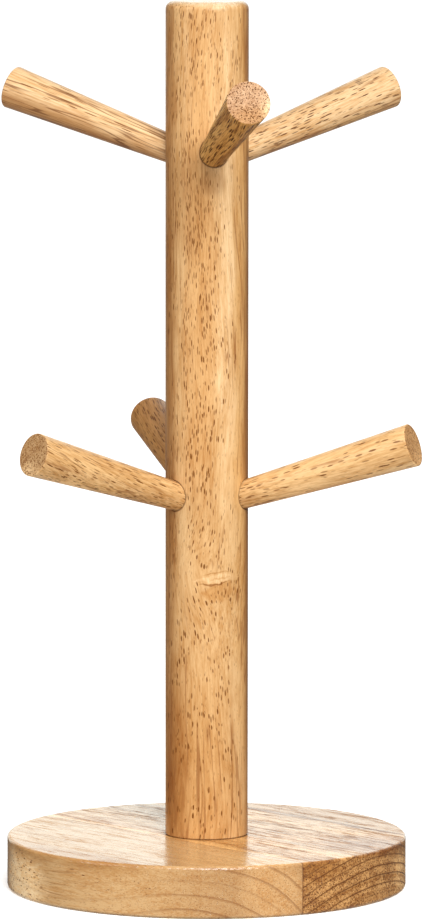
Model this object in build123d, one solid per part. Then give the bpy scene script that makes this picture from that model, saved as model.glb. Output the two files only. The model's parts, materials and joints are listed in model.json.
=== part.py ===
from build123d import *
import os
from math import cos, radians

# A mug tree in rubberwood. A turned post stands on a round base, which is sawn from a panel of three
# edge-glued boards. One wood screw with a washer comes up through the base into the post's end grain.
# Six tapered pegs, three in each of two tiers, are glued into blind holes that slant up through the
# post's side.
#
# Units are millimetres. +Z is up, -Y is the front, and the origin is where the post's axis meets the
# base's underside. Azimuths are in degrees from +X, anticlockwise seen from above.

OVERALL_HEIGHT = 332.4

BASE_DIAMETER = 150.0
BASE_THICKNESS = 19.4
BASE_EDGE_RADIUS = 1.2
BOARD_NORMAL_AZIMUTH = 42.0  # across the grain; the glue lines run at right angles to it
SEAM_FRONT = -18.0  # the glue lines' distances from the axis, along that normal
SEAM_BACK = 53.5

POST_DIAMETER = 31.0
POST_TOP_RADIUS = 3.0
POST_FOOT_CHAMFER = 0.4

PEG_REACH = 84.9  # from the post's axis to the middle of the peg's end, along the peg
PEG_TILT = 18.0  # above the horizontal, as a rule
PEG_TIP_DIAMETER = 16.2
PEG_ROOT_DIAMETER = 10.7  # where the peg's axis comes out of the post
PEG_TIP_RADIUS = 0.5
TENON_DIAMETER = 10.0
TENON_END = 5.5  # from the post's axis, along the peg, as are the two below
HOLE_END = 5.0
SHOULDER = 13.0
TENON_CHAMFER = 0.5
GLUE_GAP = 0.05
MOUTH_GAP = 0.15
TIERS = {  # height at which the pegs' axes cross the post's axis, then each peg's azimuth and own tilt
    "upper": (272.0, {"right": (31.6, 18.1), "left": (155.9, 18.3), "front": (280.7, 18.5)}),
    "lower": (143.7, {"back": (105.5, 17.5), "left": (218.5, 16.8), "right": (341.0, 17.6)}),
}

SCREW_LENGTH = 50.0  # under the head
SCREW_CORE_DIAMETER = 3.6
SCREW_THREAD_DIAMETER = 5.5
SCREW_PITCH = 2.6
SCREW_PLAIN_LENGTH = 12.0  # unthreaded neck, where the screw passes through the base
SCREW_POINT_LENGTH = 6.0
SCREW_HEAD_DIAMETER = 10.0
SCREW_HEAD_HEIGHT = 3.6
DRIVE_WIDTH = 1.3
DRIVE_SPAN = 5.4
DRIVE_DEPTH = 2.2
WASHER_DIAMETER = 14.0
WASHER_BORE = 5.9
WASHER_THICKNESS = 1.2
COUNTERBORE_DIAMETER = 16.0
COUNTERBORE_DEPTH = 8.0
SCREW_CLEARANCE = 6.0  # bore through the base
PILOT_GAP = 0.05
PILOT_SPARE_DEPTH = 2.0

WASHER_BOTTOM = COUNTERBORE_DEPTH - WASHER_THICKNESS
PEG_ROOT = POST_DIAMETER / 2 / cos(radians(PEG_TILT))
FAR = 200.0  # longer than anything that is cut

ON_FLOOR = (Align.CENTER, Align.CENTER, Align.MIN)


def turned(outline):
    """The solid that a closed outline of (radius, height) points makes when it turns about Z."""
    face = make_face(Plane.XZ * Polyline(*outline, close=True))
    return revolve(face, Axis.Z)


def upright(diameter, bottom, height):
    """A cylinder on the Z axis."""
    return Pos(0, 0, bottom) * Cylinder(diameter / 2, height, align=ON_FLOOR)


def peg_radius(reach):
    """The peg's radius at a distance from the post's axis, along the peg."""
    share = (reach - PEG_ROOT) / (PEG_REACH - PEG_ROOT)
    return (PEG_ROOT_DIAMETER + share * (PEG_TIP_DIAMETER - PEG_ROOT_DIAMETER)) / 2


def peg_places():
    """For each peg, what carries it from the origin, where it points along +Z, to its place in the post."""
    places = {}
    for tier, (height, pegs) in TIERS.items():
        for side, (azimuth, tilt) in pegs.items():
            places[f"peg_{tier}_{side}"] = Pos(0, 0, height) * Rot(Z=azimuth) * Rot(Y=90 - tilt)
    return places


def make_peg():
    tenon = TENON_DIAMETER / 2
    solid = turned([
        (0, TENON_END),
        (tenon - TENON_CHAMFER, TENON_END),
        (tenon, TENON_END + TENON_CHAMFER),
        (tenon, SHOULDER),
        (peg_radius(SHOULDER), SHOULDER),
        (peg_radius(PEG_REACH), PEG_REACH),
        (0, PEG_REACH),
    ])
    tip_edge = solid.edges().filter_by(GeomType.CIRCLE).sort_by(Axis.Z)[-1]
    return fillet(tip_edge, PEG_TIP_RADIUS)


def make_peg_hole():
    """A flat-ended hole for the tenon, with a mouth that opens out with the peg's taper.

    It is turned a quarter round its own axis, so that its seam line lies at the side of the hole, where
    it doesn't run along a line of the post.
    """
    hole = TENON_DIAMETER / 2 + GLUE_GAP
    mouth_start = SHOULDER - MOUTH_GAP
    mouth_end = POST_DIAMETER
    return Rot(Z=90) * turned([
        (0, HOLE_END),
        (hole, HOLE_END),
        (hole, mouth_start),
        (peg_radius(mouth_start) + MOUTH_GAP, mouth_start),
        (peg_radius(mouth_end) + MOUTH_GAP, mouth_end),
        (0, mouth_end),
    ])


def make_post():
    solid = upright(POST_DIAMETER, BASE_THICKNESS, OVERALL_HEIGHT - BASE_THICKNESS)
    rims = solid.edges().filter_by(GeomType.CIRCLE).sort_by(Axis.Z)
    solid = fillet(rims[-1], POST_TOP_RADIUS)
    foot = solid.edges().filter_by(GeomType.CIRCLE).sort_by(Axis.Z)[0]
    solid = chamfer(foot, POST_FOOT_CHAMFER)
    pilot_depth = WASHER_BOTTOM + SCREW_LENGTH + PILOT_SPARE_DEPTH - BASE_THICKNESS
    solid -= upright(SCREW_THREAD_DIAMETER + 2 * PILOT_GAP, BASE_THICKNESS, pilot_depth)
    hole = make_peg_hole()
    for place in peg_places().values():
        solid -= place * hole
    return solid


def make_base_boards():
    """The round panel, sawn apart again along its glue lines."""
    disc = upright(BASE_DIAMETER, 0, BASE_THICKNESS)
    disc = fillet(disc.edges().filter_by(GeomType.CIRCLE), BASE_EDGE_RADIUS)
    disc -= upright(COUNTERBORE_DIAMETER, 0, COUNTERBORE_DEPTH)
    disc -= upright(SCREW_CLEARANCE, 0, BASE_THICKNESS)
    limits = {
        "front": (-FAR, SEAM_FRONT),
        "middle": (SEAM_FRONT, SEAM_BACK),
        "back": (SEAM_BACK, FAR),
    }
    boards = {}
    for name, (low, high) in limits.items():
        slab = Rot(Z=BOARD_NORMAL_AZIMUTH) * Pos((low + high) / 2, 0, 0) * Box(high - low, 2 * FAR, FAR)
        boards[f"base_board_{name}"] = disc & slab
    return boards


def make_head():
    """A pan head, point up, with a cross recess in its domed underside."""
    radius = SCREW_HEAD_DIAMETER / 2
    rim = SCREW_HEAD_HEIGHT / 3
    dome_rise = SCREW_HEAD_HEIGHT - rim
    dome_radius = (radius**2 + dome_rise**2) / (2 * dome_rise)
    dome = Pos(0, 0, dome_radius - SCREW_HEAD_HEIGHT) * Sphere(dome_radius)
    head = upright(SCREW_HEAD_DIAMETER, -SCREW_HEAD_HEIGHT, SCREW_HEAD_HEIGHT) & dome
    slot = Pos(0, 0, -SCREW_HEAD_HEIGHT) * Box(DRIVE_SPAN, DRIVE_WIDTH, 2 * DRIVE_DEPTH)
    return head - slot - Rot(Z=90) * slot


def make_thread():
    """One coil of sharp ridge round the screw's core, its foot sunk a little into the core."""
    core = SCREW_CORE_DIAMETER / 2
    sunk = 0.2
    ridge = SCREW_THREAD_DIAMETER / 2 - core
    half_foot = 0.3 * SCREW_PITCH
    length = SCREW_LENGTH - SCREW_PLAIN_LENGTH - SCREW_POINT_LENGTH
    path = Helix(SCREW_PITCH, length, core)
    section = Polyline(
        (core - sunk, -half_foot),
        (core - sunk, half_foot),
        (core + ridge, 0),
        close=True,
    )
    ridge_face = make_face(Plane.XZ * section)
    return Pos(0, 0, SCREW_PLAIN_LENGTH) * sweep(ridge_face, path=path, is_frenet=True)


def make_screw():
    core = SCREW_CORE_DIAMETER / 2
    point_start = SCREW_LENGTH - SCREW_POINT_LENGTH
    shank = turned([(0, -1), (core, -1), (core, point_start), (0, SCREW_LENGTH)])
    return Pos(0, 0, WASHER_BOTTOM) * (make_head() + shank + make_thread())


def make_washer():
    ring = upright(WASHER_DIAMETER, WASHER_BOTTOM, WASHER_THICKNESS)
    return ring - upright(WASHER_BORE, WASHER_BOTTOM, WASHER_THICKNESS)


def make_parts():
    parts = make_base_boards()
    parts["post"] = make_post()
    peg = make_peg()
    for name, place in peg_places().items():
        parts[name] = place * peg
    parts["base_screw"] = make_screw()
    parts["screw_washer"] = make_washer()
    return parts


os.makedirs("parts", exist_ok=True)
for name, part in make_parts().items():
    export_step(part, f"parts/{name}.step")
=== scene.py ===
import json
from math import radians
from typing import NamedTuple

import bpy
from mathutils import Euler, Matrix, Vector


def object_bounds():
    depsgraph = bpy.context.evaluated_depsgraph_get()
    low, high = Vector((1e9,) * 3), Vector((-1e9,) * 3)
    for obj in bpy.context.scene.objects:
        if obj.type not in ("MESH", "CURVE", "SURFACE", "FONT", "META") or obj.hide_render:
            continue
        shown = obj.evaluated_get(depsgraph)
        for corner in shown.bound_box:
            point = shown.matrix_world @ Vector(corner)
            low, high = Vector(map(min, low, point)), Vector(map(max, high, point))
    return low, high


# The looks of a rubberwood mug tree. Every piece is a CAD node that keeps its shape and gets a
# procedural wood or steel. The wood is solid: its rings, fibres and pores run through the piece along
# the grain, so side grain and end grain both come from one pattern. Patterns are laid out in
# millimetres, in the row's frame: +Z up, -Y the front.

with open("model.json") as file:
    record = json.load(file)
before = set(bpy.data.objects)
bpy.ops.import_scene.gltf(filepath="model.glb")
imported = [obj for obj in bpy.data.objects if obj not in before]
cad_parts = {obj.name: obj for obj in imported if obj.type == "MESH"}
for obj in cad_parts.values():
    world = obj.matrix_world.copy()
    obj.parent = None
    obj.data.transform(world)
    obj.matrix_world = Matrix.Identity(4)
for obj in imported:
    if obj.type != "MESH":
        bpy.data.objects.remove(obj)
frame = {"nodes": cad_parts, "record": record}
cad_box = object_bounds()
nodes = frame["nodes"]
middle = (cad_box[0] + cad_box[1]) / 2

MM = 0.001  # metres in a millimetre

mounts = {mount["name"]: mount for mount in frame["record"]["mounts"]}
HOOKS = [mounts[name] for name in sorted(mounts) if name.startswith("hook_")]
PEG_ROOT_RADIUS = 5.5  # mm, where a peg comes out of the post
POST_RADIUS = 15.5  # mm
BOARD_GRAIN_AZIMUTH = -48.0  # degrees from +X
BOARD_SEAMS = (-18.0, 53.5)  # mm from the post's axis, across the grain


# ---------------------------------------------------------------- shader graphs


class Graph:
    """The node graph of a material or world. Each method adds a node and returns the socket it gives."""

    def __init__(self, owner):
        owner.use_nodes = True
        self.tree = owner.node_tree
        self.tree.nodes.clear()

    def node(self, kind, **settings):
        made = self.tree.nodes.new(kind)
        for key, value in settings.items():
            setattr(made, key, value)
        return made

    def feed(self, socket, value):
        if isinstance(value, bpy.types.NodeSocket):
            self.tree.links.new(value, socket)
        elif value is not None:
            socket.default_value = value

    def math(self, operation, *values, clamp=False):
        made = self.node("ShaderNodeMath", operation=operation, use_clamp=clamp)
        for socket, value in zip(made.inputs, values):
            self.feed(socket, value)
        return made.outputs[0]

    def vector(self, operation, *values):
        made = self.node("ShaderNodeVectorMath", operation=operation)
        for socket, value in zip(made.inputs, values):
            self.feed(socket, value)
        scalar = operation in ("LENGTH", "DOT_PRODUCT")
        return made.outputs["Value" if scalar else "Vector"]

    def split(self, vector):
        made = self.node("ShaderNodeSeparateXYZ")
        self.feed(made.inputs[0], vector)
        return made.outputs

    def combine(self, x, y, z):
        made = self.node("ShaderNodeCombineXYZ")
        for socket, value in zip(made.inputs, (x, y, z)):
            self.feed(socket, value)
        return made.outputs[0]

    def span(self, value, low, high, to_low=0.0, to_high=1.0):
        """A smooth step from to_low at low to to_high at high."""
        made = self.node("ShaderNodeMapRange", interpolation_type="SMOOTHSTEP")
        for socket, number in zip(made.inputs, (value, low, high, to_low, to_high)):
            self.feed(socket, number)
        return made.outputs[0]

    def mix(self, share, first, second, blend="MIX"):
        made = self.node("ShaderNodeMix", data_type="RGBA", blend_type=blend, clamp_factor=True)
        self.feed(made.inputs["Factor"], share)
        self.feed(made.inputs[6], rgba(first))
        self.feed(made.inputs[7], rgba(second))
        return made.outputs[2]

    def tint(self, share, color, factor):
        """The colour times a factor, as far as share says."""
        return self.mix(share, color, factor, "MULTIPLY")

    def noise(self, vector, scale=1.0, detail=2.0, roughness=0.5, output=0):
        """Smooth noise: output 0 is a number, and output 1 a colour of three of them."""
        made = self.node("ShaderNodeTexNoise")
        self.feed(made.inputs["Vector"], vector)
        self.feed(made.inputs["Scale"], scale)
        self.feed(made.inputs["Detail"], detail)
        self.feed(made.inputs["Roughness"], roughness)
        return made.outputs[output]

    def grain_noise(self, at, across, along, detail=2.0, roughness=0.6):
        """Noise drawn out along +Z; across and along are its features' sizes."""
        squeezed = self.vector("MULTIPLY", at, (1 / across, 1 / across, 1 / along))
        return self.noise(squeezed, detail=detail, roughness=roughness)

    def stray(self, at, scale, reach, detail):
        """A smooth random push, at most half of reach either way. scale says how fast it changes."""
        color = self.noise(self.vector("MULTIPLY", at, scale), detail=detail, output=1)
        return self.vector("MULTIPLY", self.vector("SUBTRACT", color, (0.5, 0.5, 0.5)), reach)

    def cells(self, vector):
        """Distance to the nearest random point, and a random colour for that point."""
        made = self.node("ShaderNodeTexVoronoi")
        self.feed(made.inputs["Vector"], vector)
        self.feed(made.inputs["Scale"], 1.0)
        return made.outputs["Distance"], made.outputs["Color"]

    def shade(self, color, roughness, height, depth, **plain):
        """Ends the graph in a Principled shader; plain holds its inputs that are one value all over."""
        shader = self.node("ShaderNodeBsdfPrincipled")
        self.feed(shader.inputs["Base Color"], color)
        self.feed(shader.inputs["Roughness"], roughness)
        for key, value in plain.items():
            shader.inputs[key].default_value = value
        bump = self.node("ShaderNodeBump")
        bump.inputs["Distance"].default_value = depth
        self.feed(bump.inputs["Height"], height)
        self.tree.links.new(bump.outputs[0], shader.inputs["Normal"])
        output = self.node("ShaderNodeOutputMaterial")
        self.tree.links.new(shader.outputs[0], output.inputs["Surface"])


def rgba(color):
    return (*color, 1.0) if isinstance(color, tuple) and len(color) == 3 else color


# ---------------------------------------------------------------- the pieces' own frames


def peg_grain(node):
    """Carries the row frame to a peg's own: +Z along the peg, from the middle of its end face."""
    hook = mounts[node.replace("peg", "hook")]
    turn = Vector(hook["axis"]).to_track_quat("Z", "Y").to_matrix().to_4x4()
    return (Matrix.Translation(hook["pos_m"]) @ turn).inverted()


def board_grain():
    """Carries the row frame to the base's: +Z along the grain, +X across it and level, +Y up."""
    along = Matrix.Rotation(radians(BOARD_GRAIN_AZIMUTH), 4, "Z") @ Vector((1, 0, 0))
    up = Vector((0, 0, 1))
    across = up.cross(along)
    return Matrix((across, up, along)).to_4x4()


def own_coordinates(graph, row_mm, place):
    """The point in the piece's own frame, in mm, with +Z along the grain."""
    turned = graph.node("ShaderNodeMapping", vector_type="POINT")
    graph.feed(turned.inputs["Vector"], row_mm)
    turned.inputs["Rotation"].default_value = place.to_euler()
    turned.inputs["Location"].default_value = place.to_translation() / MM
    return turned.outputs[0]


# ---------------------------------------------------------------- zones and the knot


class Zone(NamedTuple):
    """A soft-edged egg of wood, in the piece's own frame, in mm."""

    at: tuple
    size: tuple
    tint: tuple
    pores: float = 0.0  # what it adds to the share of places that hold a large pore
    lines: float = 0.0  # what it adds to the wood's share of thin dark lines
    steady: bool = False  # whether its edge is smooth; most edges waver


class Layer(NamedTuple):
    """A lens-shaped layer of the knot, in mm. x and z are its middle, from the knot's."""

    x: float
    z: float
    half_length: float
    half_height: float
    tint: tuple


def zone_shares(graph, own, zones):
    """For each zone, 1 inside it and 0 outside."""
    waver = graph.stray(own, scale=(0.09, 0.09, 0.035), reach=(9.0, 9.0, 40.0), detail=2.0)
    wavy = graph.vector("ADD", own, waver)
    shares = []
    for zone in zones:
        away = graph.vector("SUBTRACT", own if zone.steady else wavy, zone.at)
        away = graph.vector("DIVIDE", away, zone.size)
        shares.append(graph.span(graph.vector("LENGTH", away), 0.45, 1.15, 1.0, 0.0))
    return shares


def add_zones(graph, value, shares, amounts):
    """The value plus each zone's amount, as far as the zone reaches."""
    for share, amount in zip(shares, amounts):
        if amount:
            value = graph.math("ADD", value, graph.math("MULTIPLY", share, amount))
    return value


def bend_round(graph, own, knot):
    """Pushes the fibres beside a knot sideways, along X."""
    away = graph.vector("SUBTRACT", own, knot["bend_at"])
    away = graph.vector("LENGTH", graph.vector("DIVIDE", away, knot["bend_size"]))
    push = graph.span(away, 0.0, 1.6, knot["bend"], 0.0)
    return graph.vector("ADD", own, graph.combine(push, 0.0, 0.0))


def knot_layer(graph, own, knot, layer):
    """1 inside a layer of the knot, which is cut lengthwise and lies across the grain."""
    x, y, z = graph.split(graph.vector("SUBTRACT", own, knot["at"]))
    ragged = graph.noise(graph.vector("MULTIPLY", own, (0.25, 0.25, 0.25)))
    z = graph.math("ADD", z, graph.span(ragged, 0.25, 0.75, -0.6, 0.6))
    z = graph.math("MULTIPLY_ADD", x, -knot["slope"], z)
    share = graph.math("DIVIDE", graph.math("SUBTRACT", x, layer.x), layer.half_length)
    bulge = graph.math("SUBTRACT", 1.0, graph.math("MULTIPLY", share, share))
    height = graph.math("DIVIDE", graph.math("SUBTRACT", z, layer.z), layer.half_height)
    inside = graph.span(graph.math("SUBTRACT", bulge, graph.math("ABSOLUTE", height)), -0.1, 0.4)
    front = graph.span(y, -1.0, 6.0, 1.0, 0.0)
    return graph.math("MULTIPLY", inside, front)


# ---------------------------------------------------------------- wood

# What a look is made of. Each piece also has its own pith, the growth rings' centre across the grain, in
# mm, and its own seed, which picks the stretch of wood that it is cut from.
WOOD = {
    "light": (0.80, 0.505, 0.23),  # the palest fibres
    "dark": (0.50, 0.235, 0.065),  # the bands between them
    "line": (0.30, 0.115, 0.030),  # thin dark lines, and the late edges of the rings
    "pore": (0.175, 0.053, 0.004),  # the insides of the pores
    "end": (0.77, 0.71, 0.68),  # tint where the fibres are cut across
    "ring": 6.0,  # usual width of a growth ring, in mm
    "waver": 2.0,  # how uneven the rings are
    "edges": 0.2,  # how dark the thin late edge of each ring is
    "bands": 0.45,  # how much the tone changes from ring to ring
    "fibre": 0.75,  # how strongly single fibres show
    "lines": 0.3,  # how much of the wood has thin dark lines
    "pores": 0.8,  # share of places that hold a large pore
    "specks": 0.5,  # share of places that hold a small pore
    "crowd": 0.35,  # how much the share of large pores grows on end grain
    "dash_radius": 0.47,  # a large pore's radius on side grain, as a share of the pores' spacing
    "dot_radius": 0.46,  # the same on end grain
    "dash": 1.0,  # length of the pores, 1 for ordinary
    "flow": 1.0,  # length of the fibres, likewise
    "wander": 14.0,  # how far the fibres stray sideways, in mm
    "fan": 0.0,  # how much the fibres spread and draw together along the piece
    "lean": 0.0,  # degrees that the fibres lean from the piece's axis
    "relief": 0.6,  # depth of the fibres' texture, next to the pores'
    "gloss": 1.33,  # index of refraction of the finish
    "satin": (0.34, 0.48),  # roughness of the smoothest and the roughest fibres
    "matt": 0.25,  # how much rougher end grain is
}

FAN_LENGTH = 90.0  # mm along the grain for one radian of the fan's wave
FAN_START = -1.7  # the wave's angle at the middle of the piece's frame, in radians
SEED_STEP = 97.0  # mm along the grain from one seed's wood to the next one's

LARGE_PORES = (0.74, 3.5)  # mm from pore to pore, across the grain and along it
SMALL_PORES = (0.52, 2.6)
SMALL_PORE_RADIUS = 0.36  # as a share of their spacing
SMALL_PORE_SHIFT = (31.0, 17.0, 5.0)  # mm, so that they don't sit where the large ones do

GLUE_TINT = (0.40, 0.30, 0.24)
# colour of the dark line where pieces meet, which is partly painted contact shade
JOINT_LINE_AND_SHADE_TINT = (0.33, 0.25, 0.20)
WOOD_RELIEF = 0.05 * MM  # depth of the pores


def grain_coordinates(graph, own, look):
    """The same point with the fibres' fan and stray taken out, measured from the growth rings' centre."""
    if look["fan"]:
        turn = graph.math("MULTIPLY_ADD", graph.split(own)[2], 1 / FAN_LENGTH, FAN_START)
        spread = graph.math("MULTIPLY_ADD", graph.math("SINE", turn), look["fan"], 1.0)
        own = graph.vector("MULTIPLY", own, graph.combine(spread, spread, 1.0))
    pith_x, pith_y = look["pith"]
    straight = graph.vector("SUBTRACT", own, (pith_x, pith_y, SEED_STEP * look["seed"]))
    reach = (look["wander"], look["wander"], 0.0)
    stray = graph.stray(straight, scale=(0.025, 0.025, 0.009), reach=reach, detail=1.0)
    return graph.vector("ADD", straight, stray)


def cut_share(graph, place):
    """How far the surface cuts across the grain: 0 on side grain, 1 on end grain."""
    normal = graph.node("ShaderNodeNewGeometry").outputs["Normal"]
    grain_axis = place.to_3x3().inverted() @ Vector((0, 0, 1))
    facing = graph.math("ABSOLUTE", graph.vector("DOT_PRODUCT", normal, tuple(grain_axis)))
    return graph.span(facing, 0.35, 0.95)


def ring_tone(graph, at, look):
    """The broad tone of the growth rings, and the thin dark edge where each one ends."""
    across = graph.vector("MULTIPLY", at, (1.0, 1.0, 0.0))
    rings = graph.math("DIVIDE", graph.vector("LENGTH", across), look["ring"])
    uneven = graph.grain_noise(at, across=28.0, along=260.0)
    count = graph.math("MULTIPLY_ADD", uneven, look["waver"], rings)
    band = graph.noise(graph.combine(count, look["seed"], 0.0), roughness=0.6)
    growth = graph.math("FRACT", count)
    rise = graph.span(growth, 0.74, 0.94)
    fall = graph.span(growth, 0.96, 1.0, 1.0, 0.0)
    ring = graph.combine(graph.math("FLOOR", count), look["seed"], 7.3)
    strength = graph.span(graph.noise(ring, scale=3.1, detail=0.0), 0.3, 0.6, 0.35, 1.0)
    edge = graph.math("MULTIPLY", graph.math("MULTIPLY", rise, fall), strength)
    return graph.span(band, 0.3, 0.7), edge


def fibre_color(graph, look, band, fibre, strand, blotch):
    """From the light colour to the dark one, by rings, fibres, strands of fibres and blotches."""
    vivid = look["fibre"]
    tone = graph.math("MULTIPLY", band, look["bands"])
    tone = graph.math("ADD", tone, graph.span(fibre, 0.28, 0.72, -0.5 * vivid, 0.5 * vivid))
    tone = graph.math("ADD", tone, graph.span(strand, 0.3, 0.7, -0.15 * vivid, 0.3 * vivid))
    tone = graph.math("ADD", tone, graph.span(blotch, 0.3, 0.7, -0.08, 0.3), clamp=True)
    return graph.mix(tone, look["light"], look["dark"])


def threads(graph, at, share):
    """Thin dark lines that run on along the grain; share says how much of the wood has them."""
    ridge = graph.grain_noise(at, across=2.6, along=110.0, detail=1.0)
    away = graph.math("ABSOLUTE", graph.math("SUBTRACT", ridge, 0.5))
    line = graph.span(away, 0.012, 0.05, 1.0, 0.0)
    elsewhere = graph.vector("ADD", at, (7.0, 3.0, 11.0))
    patch = graph.grain_noise(elsewhere, across=4.0, along=35.0, detail=1.0)
    present = graph.span(graph.math("MULTIPLY_ADD", share, 0.5, patch), 0.6, 0.75)
    return graph.math("MULTIPLY", line, present)


def pore_layer(graph, at, spacings, stretch, radius, density):
    """Cigar-shaped pores along the grain: dashes on side grain and dots on end grain."""
    across, along = spacings
    along = along * stretch
    distance, color = graph.cells(graph.vector("MULTIPLY", at, (1 / across, 1 / across, 1 / along)))
    chance, depth, _ = graph.split(color)
    size = graph.span(graph.math("SUBTRACT", density, chance), 0.0, 0.3, 0.0, radius)
    edge = graph.math("DIVIDE", distance, graph.math("ADD", size, 0.0001))
    hollow = graph.span(edge, 0.6, 1.0, 1.0, 0.0)
    return graph.math("MULTIPLY", hollow, graph.span(depth, 0.0, 1.0, 0.6, 1.0))


def all_pores(graph, look, at, cut, density):
    """Large pores are dashes on side grain and crowded dots on end grain; small ones are flecks."""
    density = graph.math("ADD", density, graph.math("MULTIPLY", cut, look["crowd"]))
    radius = graph.span(cut, 0.0, 1.0, look["dash_radius"], look["dot_radius"])
    large = pore_layer(graph, at, LARGE_PORES, look["dash"], radius, density)
    shifted = graph.vector("ADD", at, SMALL_PORE_SHIFT)
    small = pore_layer(graph, shifted, SMALL_PORES, look["dash"], SMALL_PORE_RADIUS, look["specks"])
    small = graph.math("MULTIPLY", small, graph.span(cut, 0.0, 1.0, 0.45, 0.7))
    return graph.math("MAXIMUM", large, small)


def seam_line(graph, row_mm, seam):
    """The hairline of glue between two boards; seam is its distance from the axis, across the grain."""
    across = tuple(board_grain().to_3x3()[0])
    reach = graph.vector("DOT_PRODUCT", row_mm, across)
    away = graph.math("ABSOLUTE", graph.math("SUBTRACT", reach, seam))
    return graph.span(away, 0.05, 0.45, 0.8, 0.0)


def joint_line_and_shade(graph, row_mm, color, rings):
    """A thin dark line where another piece meets this one: partly a dark joint, partly painted contact
    shade. rings: start, axis, radius, width.
    """
    for start, axis, radius, width in rings:
        arm = graph.vector("SUBTRACT", row_mm, tuple(start))
        ahead = graph.math("GREATER_THAN", graph.vector("DOT_PRODUCT", arm, tuple(axis)), 0.0)
        away = graph.vector("LENGTH", graph.vector("CROSS_PRODUCT", arm, tuple(axis)))
        line = graph.math("MULTIPLY", ahead, graph.span(away, radius, radius + width, 0.85, 0.0))
        color = graph.tint(line, color, JOINT_LINE_AND_SHADE_TINT)
    return color


def streaky_roughness(graph, look, cut, fibre, strand, blotch):
    """Smooth and rough streaks by turns across the fibres, and rougher or smoother on end grain."""
    smooth, rough = look["satin"]
    streak = graph.math("MULTIPLY_ADD", fibre, 0.4, graph.math("MULTIPLY", strand, 0.4))
    streak = graph.math("MULTIPLY_ADD", blotch, 0.2, streak)
    roughness = graph.span(streak, 0.42, 0.68, smooth, rough)
    return graph.math("ADD", roughness, graph.math("MULTIPLY", cut, look["matt"]))


def wood(name, place, zones=(), seams=(), rings=(), knot=None, **changes):
    """Rubberwood. place carries the row frame to the grain's frame, in metres, with +Z along the grain."""
    look = {**WOOD, **changes}
    material = bpy.data.materials.new(name)
    graph = Graph(material)
    place = Matrix.Rotation(radians(look["lean"]), 4, "X") @ place
    metres = graph.node("ShaderNodeTexCoord").outputs["Object"]
    row_mm = graph.vector("MULTIPLY", metres, (1 / MM,) * 3)
    own = own_coordinates(graph, row_mm, place)
    at = grain_coordinates(graph, bend_round(graph, own, knot) if knot else own, look)
    cut = cut_share(graph, place)

    fibre = graph.grain_noise(at, across=0.6, along=7.0 * look["flow"], detail=3.0, roughness=0.65)
    strand = graph.grain_noise(at, across=1.6, along=30.0 * look["flow"])
    blotch = graph.grain_noise(at, across=7.0, along=30.0)
    shares = zone_shares(graph, own, zones)
    lining = add_zones(graph, look["lines"], shares, [zone.lines for zone in zones])
    density = graph.math("ADD", look["pores"], graph.span(blotch, 0.32, 0.68, -0.28, 0.22))
    density = add_zones(graph, density, shares, [zone.pores for zone in zones])

    band, edge = ring_tone(graph, at, look)
    color = fibre_color(graph, look, band, fibre, strand, blotch)
    for share, zone in zip(shares, zones):
        color = graph.tint(share, color, zone.tint)
    edge = graph.math("MULTIPLY", edge, graph.span(cut, 0.0, 0.6, 0.4 * look["edges"], look["edges"]))
    color = graph.mix(edge, color, look["line"])
    thread = graph.math("MULTIPLY", threads(graph, at, lining), graph.span(cut, 0.0, 0.6, 0.7, 0.0))
    color = graph.mix(thread, color, look["line"])
    for layer in knot["layers"] if knot else ():
        color = graph.tint(knot_layer(graph, own, knot, layer), color, layer.tint)
    color = graph.tint(cut, color, look["end"])

    pores = all_pores(graph, look, at, cut, density)
    if knot:
        pale_layer = knot_layer(graph, own, knot, knot["layers"][0])
        pores = graph.math("SUBTRACT", pores, pale_layer, clamp=True)
    color = graph.mix(pores, color, look["pore"])
    for seam in seams:
        color = graph.tint(seam_line(graph, row_mm, seam), color, GLUE_TINT)
    # dark lines where other pieces meet this one, partly painted contact shade
    color = joint_line_and_shade(graph, row_mm, color, rings)

    roughness = streaky_roughness(graph, look, cut, fibre, strand, blotch)
    height = graph.math("SUBTRACT", graph.math("MULTIPLY", fibre, look["relief"]), pores)
    graph.shade(color, roughness, height, WOOD_RELIEF, IOR=look["gloss"])
    return material


# ---------------------------------------------------------------- steel


ZINC_RELIEF = 0.02 * MM  # depth of the turning marks


def zinc():
    """Bright zinc plate with a faint mottle and turning marks."""
    material = bpy.data.materials.new("zinc_plate")
    graph = Graph(material)
    coordinates = graph.node("ShaderNodeTexCoord").outputs["Object"]
    mottle = graph.noise(coordinates, scale=900.0, detail=3.0)
    marks = graph.noise(graph.vector("MULTIPLY", coordinates, (400.0, 400.0, 9000.0)))
    color = graph.mix(mottle, (0.62, 0.63, 0.66), (0.47, 0.47, 0.48))
    roughness = graph.span(mottle, 0.3, 0.7, 0.24, 0.42)
    graph.shade(color, roughness, marks, ZINC_RELIEF, Metallic=1.0)
    return material


# ---------------------------------------------------------------- dressing the nodes


def dress(node, material):
    for slot in nodes[node].material_slots:
        slot.material = material


def peg_start(hook):
    """Where a peg's axis crosses the post's, in mm."""
    end = Vector(hook["pos_m"])
    axis = Vector(hook["axis"])
    return (end - axis * (end.xy.length / axis.xy.length)) / MM


# rings of dark joint line and painted contact shade: where each one starts, its axis, its radius and its
# width, in mm
peg_rings = [(peg_start(hook), Vector(hook["axis"]), PEG_ROOT_RADIUS, 0.5) for hook in HOOKS]
foot_ring = [(Vector((0, 0, 0)), Vector((0, 0, 1)), POST_RADIUS, 0.8)]

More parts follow.
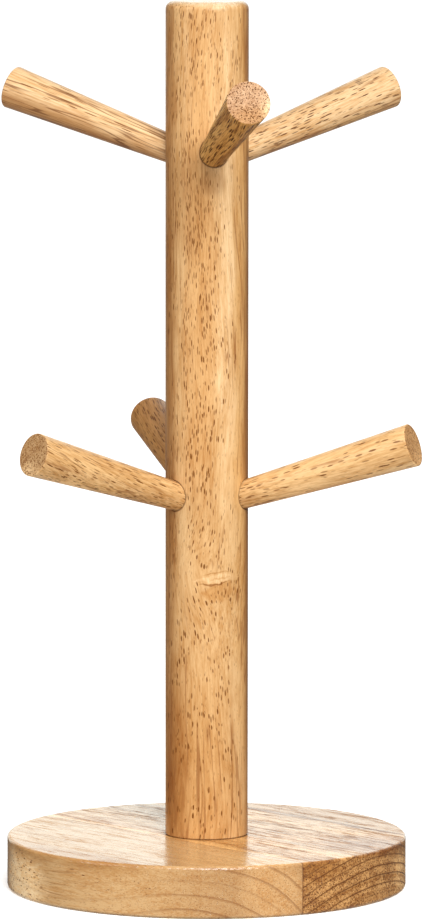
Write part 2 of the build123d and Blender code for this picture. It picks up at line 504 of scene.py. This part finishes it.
POST_ZONES = (
    # the darker heart side down the left, and down the right a dark band of painted edge shade, darkest at
    # its edge
    Zone((-17.0, -6.0, 190.0), (7.2, 12.0, 300.0), (0.68, 0.54, 0.40), lines=0.5),
    Zone((17.0, -2.0, 190.0), (5.4, 10.0, 300.0), (0.64, 0.52, 0.40)),
    Zone((16.4, -2.0, 190.0), (2.6, 10.0, 300.0), (0.72, 0.68, 0.62), steady=True),
    # orange wood full of pores, left of the middle
    Zone((-3.0, -16.0, 225.0), (7.5, 8.0, 130.0), (0.92, 0.84, 0.74), pores=0.35),
    # a pale column right of the middle
    Zone((7.0, -15.0, 240.0), (3.8, 9.0, 110.0), (1.12, 1.20, 1.36), pores=-0.2),
    # long stripes down the right
    Zone((14.0, -7.0, 190.0), (4.5, 10.0, 200.0), (0.95, 0.88, 0.74), pores=-0.5, lines=0.6),
    # browner wood left of the upper front peg, partly a painted shadow of that peg; a painted shadow just
    # below the peg; and browner wood round the foot
    Zone((-7.0, -14.0, 258.0), (9.0, 9.0, 26.0), (0.86, 0.80, 0.72), pores=0.1),
    Zone((2.5, -15.5, 265.5), (6.0, 4.0, 6.0), (0.74, 0.68, 0.62), steady=True),
    Zone((-4.0, -13.0, 40.0), (15.0, 14.0, 50.0), (0.90, 0.82, 0.70), lines=0.35),
    Zone((-12.0, -11.0, 45.0), (7.0, 9.0, 50.0), (0.78, 0.67, 0.54)),
    # a painted highlight along the front of the rounded top edge, where an overhead light reflects
    Zone((3.0, -12.0, 332.4), (13.0, 7.0, 3.4), (1.10, 1.25, 1.55), pores=-0.8, steady=True),
)

KNOT = {
    "at": (4.0, -15.0, 117.6),
    "slope": 0.11,  # how much it climbs to the right
    "bend": 3.5,  # mm that the fibres beside it are pushed sideways, at most
    "bend_at": (-5.0, -14.0, 120.0),
    "bend_size": (7.0, 12.0, 16.0),
    "layers": (  # the pale knot, a painted shadow below it as a patch and a darker lip, and the fine lines in and above it
        Layer(1.5, 0.3, 11.5, 1.6, (1.16, 1.26, 1.45)),
        Layer(1.5, -4.8, 8.0, 4.2, (0.86, 0.74, 0.58)),
        Layer(-1.0, -1.6, 6.5, 0.5, (0.56, 0.43, 0.31)),
        Layer(1.5, 0.3, 5.5, 0.25, (0.84, 0.76, 0.66)),
        Layer(0.5, 2.5, 7.5, 0.35, (0.78, 0.68, 0.55)),
    ),
}

# the post's end tint whitens its end grain more than the pegs' does: a painted reflection of the overhead
# light on the top and its rounded edge
dress("post", wood(
    "post_wood", Matrix.Identity(4), zones=POST_ZONES, rings=peg_rings, knot=KNOT,
    light=(0.752, 0.472, 0.220), end=(0.98, 1.10, 1.34), pith=(3.0, 60.0), seed=1.0, bands=0.35,
    fibre=0.62, lines=0.1, pores=0.47, dash_radius=0.46, dash=0.95, fan=0.25, matt=-0.2,
))

# zones of the pegs are given level, up and along the peg from its end face
# a paler underside: painted bounce light from the white floor below
BOUNCE_LIT_BELOW = Zone((0.0, -8.0, -35.0), (9.0, 6.5, 70.0), (1.42, 1.52, 1.66), pores=-0.15)
# darker wood with dark lines on the underside, deepened as painted shade below the peg
DARK_AND_SHADED_BELOW = Zone((6.0, -6.0, -30.0), (8.5, 7.0, 80.0), (0.66, 0.50, 0.34), lines=0.4)
BROWN_BELOW = Zone((0.0, -9.0, -35.0), (12.0, 7.0, 90.0), (0.84, 0.68, 0.42), lines=0.8)
# a lighter lower side: painted bounce light from the floor below
BOUNCE_LIT_LOWER_SIDE = Zone((0.0, -3.5, -43.0), (9.0, 6.0, 38.0), (1.24, 1.26, 1.22))
# a darker, more orange underside: painted shade below the peg
ORANGE_SHADE_BELOW = Zone((0.0, -8.0, -35.0), (12.0, 9.0, 90.0), (0.88, 0.78, 0.62))
# a painted highlight along the right of the underside, where light bounces in from the side
PAINTED_HIGHLIGHT_RIGHT = Zone((8.0, -2.0, -40.0), (5.0, 8.0, 70.0), (1.50, 1.72, 1.80))

PEG_LOOKS = {
    "peg_upper_left": {
        "pith": (30.0, 6.0), "seed": 2.0, "bands": 0.2, "lines": 0.4, "pores": 0.7, "specks": 0.8,
        "dash_radius": 0.34, "dash": 4.0, "flow": 3.0, "wander": 5.0,
        "light": (0.80, 0.54, 0.29), "line": (0.16, 0.05, 0.010), "zones": (DARK_AND_SHADED_BELOW,),
    },
    "peg_upper_right": {
        "pith": (12.0, -30.0), "seed": 3.0, "bands": 0.2, "lines": 0.1, "pores": 1.0,
        "dash_radius": 0.40, "dash": 1.5,
        "light": (0.78, 0.53, 0.285), "pore": (0.11, 0.034, 0.004), "zones": (BROWN_BELOW,),
    },
    "peg_upper_front": {
        "pith": (25.0, 20.0), "seed": 4.0, "lines": 0.9, "pores": 1.5, "specks": 1.2, "crowd": 0.9,
        "dash_radius": 0.46, "dot_radius": 0.42, "dash": 3.0, "flow": 2.0, "gloss": 1.08,
        "light": (0.82, 0.47, 0.16), "end": (0.80, 0.87, 1.50), "pore": (0.075, 0.02, 0.001),
        "zones": (ORANGE_SHADE_BELOW, PAINTED_HIGHLIGHT_RIGHT),
    },
    "peg_lower_left": {
        "pith": (-22.0, 26.0), "seed": 15.0, "pores": 0.9, "specks": 0.95, "crowd": 0.9,
        "dash_radius": 0.38, "dot_radius": 0.5, "dash": 2.0, "lean": 8.0,
        "end": (0.70, 0.68, 0.69), "zones": (BOUNCE_LIT_BELOW, BOUNCE_LIT_LOWER_SIDE),
    },
    "peg_lower_right": {
        "pith": (18.0, 28.0), "seed": 6.0, "bands": 0.3, "lines": 0.15, "pores": 0.75, "crowd": 0.9,
        "dash_radius": 0.40, "dash": 1.5,
        "end": (0.73, 0.65, 0.58), "pore": (0.20, 0.07, 0.012), "zones": (BOUNCE_LIT_BELOW,),
    },
    "peg_lower_back": {
        "pith": (-30.0, 12.0), "seed": 7.0, "dash": 1.6,
        "light": (0.58, 0.28, 0.085), "dark": (0.40, 0.17, 0.04),
    },
}
for node, look in PEG_LOOKS.items():
    dress(node, wood(node + "_wood", peg_grain(node), **look))

# zones of the boards are given across the grain, up and along it
FRONT_BOARD_ZONES = (
    # browner wood along the rim's upper edge
    Zone((-73.0, 19.9, 0.0), (13.0, 6.0, 90.0), (0.78, 0.66, 0.50)),
    # paler wood at the rim's left end, full of pores, and beside the front glue line
    Zone((-71.0, 6.0, -28.0), (13.0, 14.0, 26.0), (1.78, 2.05, 2.50), pores=0.5),
    Zone((-28.0, 9.0, 68.0), (14.0, 18.0, 34.0), (1.32, 1.36, 1.38)),
)
MIDDLE_BOARD_ZONES = (
    # browner wood at the back glue line, a painted shadow line along the rim's upper edge, and browner
    # wood beside the front glue line
    Zone((53.0, 19.4, 0.0), (4.0, 6.0, 120.0), (0.55, 0.44, 0.33)),
    Zone((28.0, 19.4, 64.0), (26.0, 1.9, 30.0), (0.62, 0.50, 0.40)),
    Zone((-14.0, 16.9, 73.0), (16.0, 7.0, 20.0), (0.74, 0.64, 0.50)),
    # paler wood at the right, with a small pale fleck and a dark blot
    Zone((44.0, 7.0, 60.0), (16.0, 9.0, 26.0), (1.70, 1.90, 2.15), pores=-0.2),
    Zone((1.4, 9.4, 75.0), (1.8, 2.2, 4.0), (1.40, 1.60, 1.40), pores=-0.6),
    Zone((4.0, 0.4, 75.0), (4.5, 1.8, 5.0), (0.55, 0.42, 0.38)),
)

BOARD_LOOKS = {
    "base_board_front": {
        "pith": (-57.0, -28.5), "seed": 11.0, "ring": 5.6, "edges": 0.6, "bands": 0.2, "pores": 0.1,
        "crowd": -0.1, "satin": (0.05, 0.56), "light": (0.66, 0.41, 0.188),
        "pore": (0.22, 0.08, 0.015), "zones": FRONT_BOARD_ZONES,
    },
    "base_board_middle": {
        "pith": (22.0, -64.5), "seed": 12.0, "ring": 3.3, "edges": 0.9, "bands": 0.65, "pores": 0.2,
        "crowd": 0.9, "dot_radius": 0.47, "satin": (0.05, 0.68), "light": (0.92, 0.53, 0.20),
        "dark": (0.38, 0.148, 0.028), "line": (0.15, 0.045, 0.006), "pore": (0.13, 0.038, 0.005),
        "zones": MIDDLE_BOARD_ZONES,
    },
    "base_board_back": {
        "pith": (20.0, -60.0), "seed": 13.0, "ring": 5.0, "edges": 0.6, "pores": 0.3,
        "satin": (0.05, 0.68), "light": (0.62, 0.33, 0.12), "dark": (0.32, 0.125, 0.027),
    },
}
for node, look in BOARD_LOOKS.items():
    dress(node, wood(
        node + "_wood", board_grain(), seams=BOARD_SEAMS, rings=foot_ring,
        waver=0.5, fibre=0.9, lines=0.0, specks=0.95, wander=2.0, relief=1.0, gloss=1.5, matt=0.0, **look,
    ))

steel = zinc()
dress("base_screw", steel)
dress("screw_washer", steel)


# ---------------------------------------------------------------- studio

SKY_BELOW = 0.85  # light that a white floor throws up
SKY_LEVEL = 0.08  # dim walls
SKY_ABOVE = 0.45
SWEEP = 1.54  # the white sweep behind the object, low down
COOL_WHITE = (0.95, 1.0, 0.955)  # its colour

CAMERA_PLACE = (0.0, -2.495, 0.433)  # metres
CAMERA_PITCH = 6.222  # degrees down from level
CAMERA_YAW = -0.04
CAMERA_ROLL = 0.05
CAMERA_LENS = 262.7  # mm, on a sensor 36 mm wide


def link(thing):
    bpy.context.scene.collection.objects.link(thing)
    return thing


def make_floor():
    """A wide white floor, seen from above only. The world stands in for the light that it throws back."""
    size = 40.0  # metres from the middle to an edge
    mesh = bpy.data.meshes.new("floor")
    corners = [(-size, -size, 0), (size, -size, 0), (size, size, 0), (-size, size, 0)]
    mesh.from_pydata(corners, [], [(0, 1, 2, 3)])
    floor = link(bpy.data.objects.new("floor", mesh))
    floor.location.z = -0.1 * MM  # clear of the base, so that the two don't flicker into each other
    material = bpy.data.materials.new("floor_paper")
    graph = Graph(material)
    diffuse = graph.node("ShaderNodeBsdfDiffuse")
    diffuse.inputs["Color"].default_value = (0.9, 0.9, 0.9, 1.0)
    clear = graph.node("ShaderNodeBsdfTransparent")
    below = graph.node("ShaderNodeNewGeometry").outputs["Backfacing"]
    mixed = graph.node("ShaderNodeMixShader")
    graph.feed(mixed.inputs[0], below)
    graph.feed(mixed.inputs[1], diffuse.outputs[0])
    graph.feed(mixed.inputs[2], clear.outputs[0])
    output = graph.node("ShaderNodeOutputMaterial")
    graph.feed(output.inputs["Surface"], mixed.outputs[0])
    mesh.materials.append(material)
    floor.visible_diffuse = False
    floor.visible_glossy = False
    return floor


def light_floor(floor):
    """A very soft overhead light that falls on the floor alone and keeps it white to the horizon."""
    light = bpy.data.lights.new("floor_light", "SUN")
    light.energy = 2.6
    light.angle = radians(150)
    sun = link(bpy.data.objects.new("floor_light", light))
    lit = bpy.data.collections.new("lit_by_floor_light")
    lit.objects.link(floor)
    sun.light_linking.receiver_collection = lit


def make_softbox(name, azimuth, elevation, distance, size, power):
    """A square light that faces the object's middle."""
    light = bpy.data.lights.new(name, "AREA")
    light.size = size
    light.energy = power
    box = link(bpy.data.objects.new(name, light))
    turn = Euler((0.0, -radians(elevation), radians(azimuth))).to_matrix()
    way = turn @ Vector((1.0, 0.0, 0.0))
    box.location = middle + way * distance
    box.rotation_euler = way.to_track_quat("Z", "Y").to_euler()


def make_sky():
    """A studio with dim walls, a ceiling, light from the floor and a white sweep low down at the back."""
    world = bpy.data.worlds.new("studio")
    bpy.context.scene.world = world
    graph = Graph(world)
    way = graph.node("ShaderNodeTexCoord").outputs["Generated"]
    x, y, z = graph.split(way)  # z is -1 straight down and 1 straight up
    back = graph.split(graph.vector("NORMALIZE", graph.combine(x, y, 0.0)))[1]
    behind = graph.span(back, 0.80, 0.96)
    low = graph.math("MULTIPLY", graph.span(z, -0.12, 0.0), graph.span(z, 0.45, 0.85, 1.0, 0.0))
    sweep = graph.math("MULTIPLY", graph.math("MULTIPLY", behind, low), SWEEP)
    ceiling = graph.span(z, 0.0, 0.8, SKY_LEVEL, SKY_ABOVE)
    front = graph.span(back, -0.7, 0.2, 1.0, 0.55)
    bounce = graph.math("MULTIPLY", graph.span(z, -0.5, -0.05, SKY_BELOW, SKY_LEVEL), front)
    background = graph.node("ShaderNodeBackground")
    graph.feed(background.inputs["Color"], graph.mix(sweep, (1.0, 1.0, 1.0), COOL_WHITE))
    strength = graph.math("MAXIMUM", sweep, graph.math("MAXIMUM", ceiling, bounce))
    graph.feed(background.inputs["Strength"], strength)
    output = graph.node("ShaderNodeOutputWorld")
    graph.feed(output.inputs["Surface"], background.outputs[0])


def make_camera():
    """A long lens 2.5 m in front of the post, looking a little down."""
    data = bpy.data.cameras.new("camera")
    data.sensor_width = 36.0
    data.lens = CAMERA_LENS
    data.clip_start = 0.1
    data.clip_end = 200.0
    camera = link(bpy.data.objects.new("camera", data))
    aim = Euler((radians(90 - CAMERA_PITCH), 0.0, radians(CAMERA_YAW))).to_matrix()
    roll = Matrix.Rotation(radians(CAMERA_ROLL), 3, "Z")
    camera.matrix_world = Matrix.Translation(CAMERA_PLACE) @ (aim @ roll).to_4x4()
    bpy.context.scene.camera = camera


floor = make_floor()
make_sky()
make_softbox("key", azimuth=-71.0, elevation=34.0, distance=2.4, size=1.3, power=71.0)
make_softbox("fill", azimuth=-150.0, elevation=20.0, distance=2.4, size=1.4, power=20.0)
light_floor(floor)
make_camera()
bpy.context.scene.view_settings.view_transform = "Standard"
